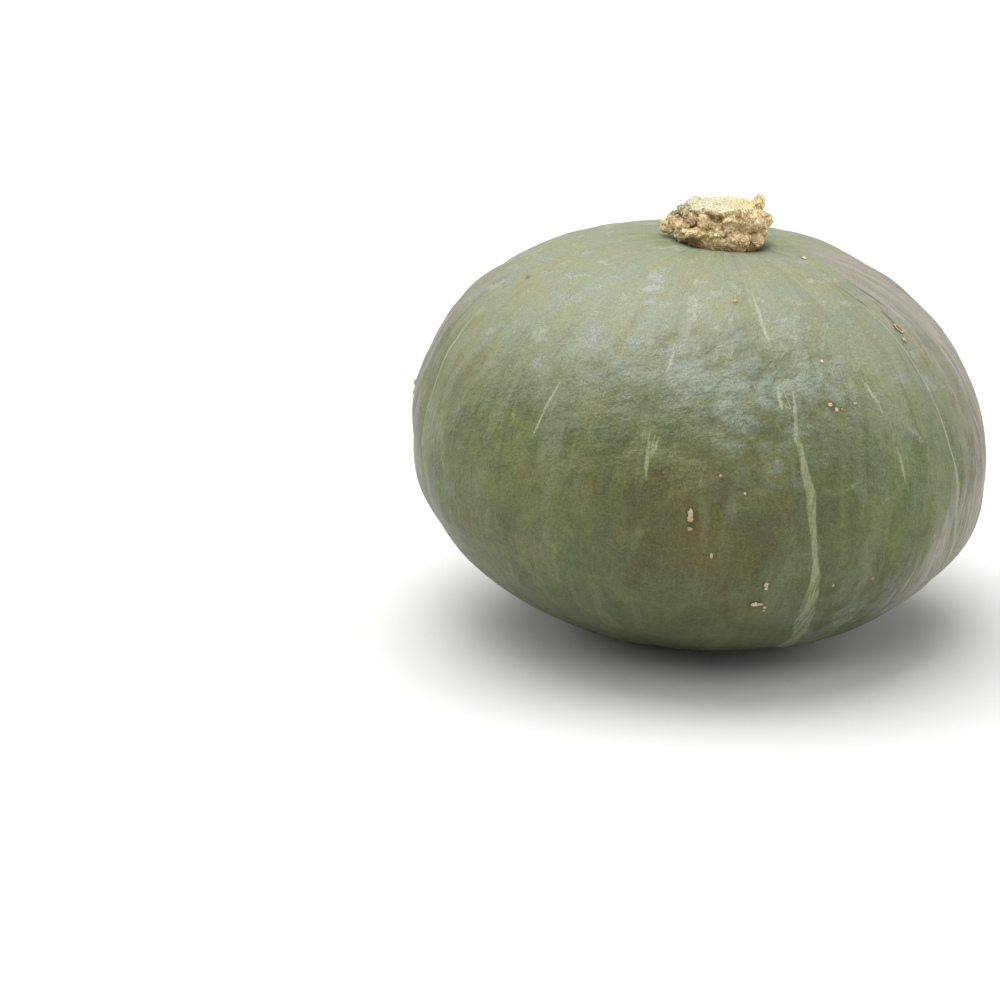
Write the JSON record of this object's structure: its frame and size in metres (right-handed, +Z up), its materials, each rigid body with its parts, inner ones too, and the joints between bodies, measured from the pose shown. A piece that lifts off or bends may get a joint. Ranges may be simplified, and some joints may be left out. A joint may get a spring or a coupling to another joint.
{
  "type": "kabocha squash",
  "caption": "Whole kabocha squash, a squat ribbed grey-green fruit with a corky stem stub, standing on its blossom end.",
  "frame": {"origin": "middle of the footprint, on the surface the squash stands on", "axes": "+Z up, front faces -Y, +X to the right of the front; the fruit's own axis leans 5.6 degrees from +Z towards +X"},
  "size_m": [0.1888, 0.1906, 0.1449],
  "materials": {
    "rind": "waxy grey-green rind with pale stripes and a dusty bloom",
    "cork": "dry matt tan cork"
  },
  "bodies": {
    "root": {"fruit": "rind", "stem": "cork"}
  },
  "joints": []
}
